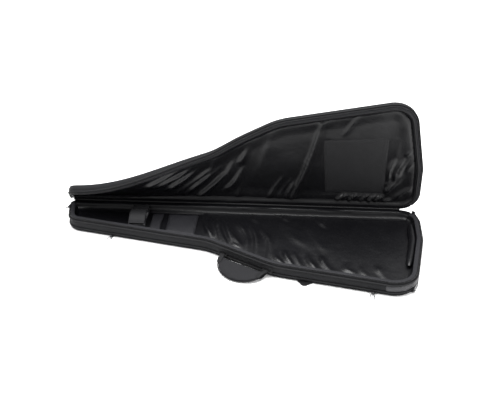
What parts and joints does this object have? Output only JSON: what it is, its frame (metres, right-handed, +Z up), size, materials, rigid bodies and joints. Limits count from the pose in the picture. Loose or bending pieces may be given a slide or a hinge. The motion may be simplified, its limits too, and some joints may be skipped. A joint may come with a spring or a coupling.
{
  "type": "padded gig bag",
  "caption": "Long soft padded carry bag for a bass guitar, open on its back, with a zipped hinged lid, neck strap and rest, carry handle and outer pocket.",
  "frame": {"origin": "middle of the bag's length, 195 mm in front of the hinge line, on the underside where it rests on the floor", "axes": "+X along the hinge line from the neck end to the body end, +Y towards the hinge side, +Z up"},
  "size_m": [1.2072, 0.4671, 0.4517],
  "materials": {
    "buckle_plastic": "moulded acetal",
    "corner_guard": "coated scuff guard",
    "foam": "closed-cell foam",
    "hook_loop": "hook and loop pile",
    "lining_fabric": "glossy black nylon lining",
    "pad_cover": "smooth brushed nylon over foam",
    "piping_cord": "bound cord",
    "protector_patch": "matte vinyl patch",
    "puller_wire": "dark plated wire",
    "shell_fabric": "black woven polyester, padded",
    "slider_metal": "black enamelled",
    "strap_fabric": "woven strap",
    "strap_padding": "padded mesh cover",
    "webbing": "ribbed webbing",
    "zip_coil": "nylon coil",
    "zip_tape": "woven zip tape"
  },
  "bodies": {
    "base": {"backpack_strap_pads": "strap_padding", "base_back_panel": "shell_fabric", "base_bottom_piping": "piping_cord", "base_floor_foam": "foam", "base_lining": "lining_fabric", "base_outer_wall": "shell_fabric", "base_rim_piping": "piping_cord", "base_wall_foam": "foam", "base_zip_coil": "zip_coil", "base_zip_tape": "zip_tape", "corner_guard": "corner_guard", "end_bumper_pad": "pad_cover", "handle_anchor_tabs": "webbing", "hinge_welt": "piping_cord", "ladder_lock_buckles": "buckle_plastic", "neck_cushion": "pad_cover", "neck_rest_block": "pad_cover", "neck_strap_loop_patch": "hook_loop", "neck_strap_pin": "slider_metal", "strap_anchor_tabs": "webbing", "strap_cover_panel": "shell_fabric", "strap_webbing_tails": "webbing", "strap_zip_coil": "zip_coil", "strap_zip_tape": "zip_tape"},
    "handle": {"handle_grip_pad": "strap_padding", "handle_webbing": "webbing"},
    "neck_strap": {"neck_strap_flap": "strap_fabric", "neck_strap_hook_patch": "hook_loop"},
    "lid_neck": {"lid_neck_foam_tray": "foam", "lid_neck_lining": "lining_fabric", "lid_neck_outer_panel": "shell_fabric", "lid_neck_rim_piping": "piping_cord", "lid_neck_side_wall": "shell_fabric", "lid_neck_zip_coil": "zip_coil", "lid_neck_zip_tape": "zip_tape"},
    "lid": {"lid_foam_tray": "foam", "lid_lining": "lining_fabric", "lid_outer_panel": "shell_fabric", "lid_pocket_gusset": "shell_fabric", "lid_pocket_panel": "shell_fabric", "lid_pocket_zip": "zip_tape", "lid_protector_patch": "protector_patch", "lid_rim_piping": "piping_cord", "lid_side_wall": "shell_fabric", "lid_zip_coil": "zip_coil", "lid_zip_tape": "zip_tape"},
    "main_slider_neck_body": {"main_slider_neck": "slider_metal"},
    "main_puller_neck_body": {"main_puller_neck": "puller_wire"},
    "strap_slider_neck_body": {"strap_slider_neck": "slider_metal"},
    "strap_puller_neck_body": {"strap_puller_neck": "puller_wire"},
    "strap_slider_near_body": {"strap_slider_near": "slider_metal"},
    "strap_puller_near_body": {"strap_puller_near": "puller_wire"},
    "main_slider_body_body": {"main_slider_body": "slider_metal"},
    "main_puller_body_body": {"main_puller_body": "puller_wire"},
    "strap_slider_end_body": {"strap_slider_end": "slider_metal"},
    "strap_puller_end_body": {"strap_puller_end": "puller_wire"},
    "pocket_slider_body": {"pocket_slider": "slider_metal"},
    "pocket_puller_body": {"pocket_puller": "puller_wire"}
  },
  "joints": [
    {"name": "lid_hinge", "type": "hinge", "parent": "base", "child": "lid", "pos_m": [0, 0.195, 0.05], "axis": [-1, 0, 0], "range_deg": [-84, 86]},
    {"name": "lid_neck_twist", "type": "hinge", "parent": "lid", "child": "lid_neck", "pos_m": [-0.4, 0.195, 0.05], "axis": [-1, 0, 0], "range_deg": [-46, 45]},
    {"name": "handle_swing", "type": "hinge", "parent": "base", "child": "handle", "pos_m": [0.02618, -0.09029, 0.018], "axis": [-0.8726, 0.4885, 0], "range_deg": [0, 80]},
    {"name": "neck_strap_flap", "type": "hinge", "parent": "base", "child": "neck_strap", "pos_m": [-0.34, 0.154, 0.047], "axis": [-1, 0, 0], "range_deg": [0, 70]},
    {"name": "main_slider_neck_slide", "type": "slide", "parent": "base", "child": "main_slider_neck_body", "axis": [-0.1927, 0.9812, 0], "range_m": [-0.03, 0.012]},
    {"name": "main_puller_neck_swing", "type": "hinge", "parent": "main_slider_neck_body", "child": "main_puller_neck_body", "pos_m": [-0.58541, 0.14664, 0.049], "axis": [-0.1927, 0.9812, 0], "range_deg": [-60, 100]},
    {"name": "strap_slider_neck_slide", "type": "slide", "parent": "base", "child": "strap_slider_neck_body", "axis": [-0.9791, 0.2033, 0], "range_m": [-0.28, 0.09]},
    {"name": "strap_puller_neck_swing", "type": "hinge", "parent": "strap_slider_neck_body", "child": "strap_puller_neck_body", "pos_m": [-0.42157, 0.04525, 0.006], "axis": [-0.9791, 0.2033, 0], "range_deg": [-2, 88]},
    {"name": "strap_slider_near_slide", "type": "slide", "parent": "base", "child": "strap_slider_near_body", "axis": [-0.9803, 0.1975, 0], "range_m": [-0.03, 0.16]},
    {"name": "strap_puller_near_swing", "type": "hinge", "parent": "strap_slider_near_body", "child": "strap_puller_near_body", "pos_m": [0.41592, -0.20036, 0.006], "axis": [-0.9803, 0.1975, 0], "range_deg": [-2, 88]},
    {"name": "main_slider_body_slide", "type": "hinge", "parent": "base", "child": "main_slider_body_body", "pos_m": [0.52911, 0.135, 0.049], "axis": [0, 0, 1], "range_deg": [-42, 0]},
    {"name": "main_puller_body_swing", "type": "hinge", "parent": "main_slider_body_body", "child": "main_puller_body_body", "pos_m": [0.57801, 0.17903, 0.049], "axis": [0.6691, -0.7431, 0], "range_deg": [-15, 150]},
    {"name": "strap_slider_end_slide", "type": "hinge", "parent": "base", "child": "strap_slider_end_body", "pos_m": [0.47634, -0.12746, 0.006], "axis": [0, 0, 1], "range_deg": [-50, 24]},
    {"name": "strap_puller_end_swing", "type": "hinge", "parent": "strap_slider_end_body", "child": "strap_puller_end_body", "pos_m": [0.53903, -0.18246, 0.006], "axis": [-0.6596, -0.7517, 0], "range_deg": [-80, 8]},
    {"name": "pocket_slider_slide", "type": "slide", "parent": "lid", "child": "pocket_slider_body", "axis": [1, 0, 0], "range_m": [-0.025, 0.25]},
    {"name": "pocket_puller_swing", "type": "hinge", "parent": "pocket_slider_body", "child": "pocket_puller_body", "pos_m": [0.177, 0.20219, 0.32124], "axis": [-1, 0, 0], "range_deg": [-20, 80]}
  ],
  "couplings": [
    {"joint": "lid_neck_twist", "follows": "lid_hinge", "ratio": -0.52381}
  ]
}
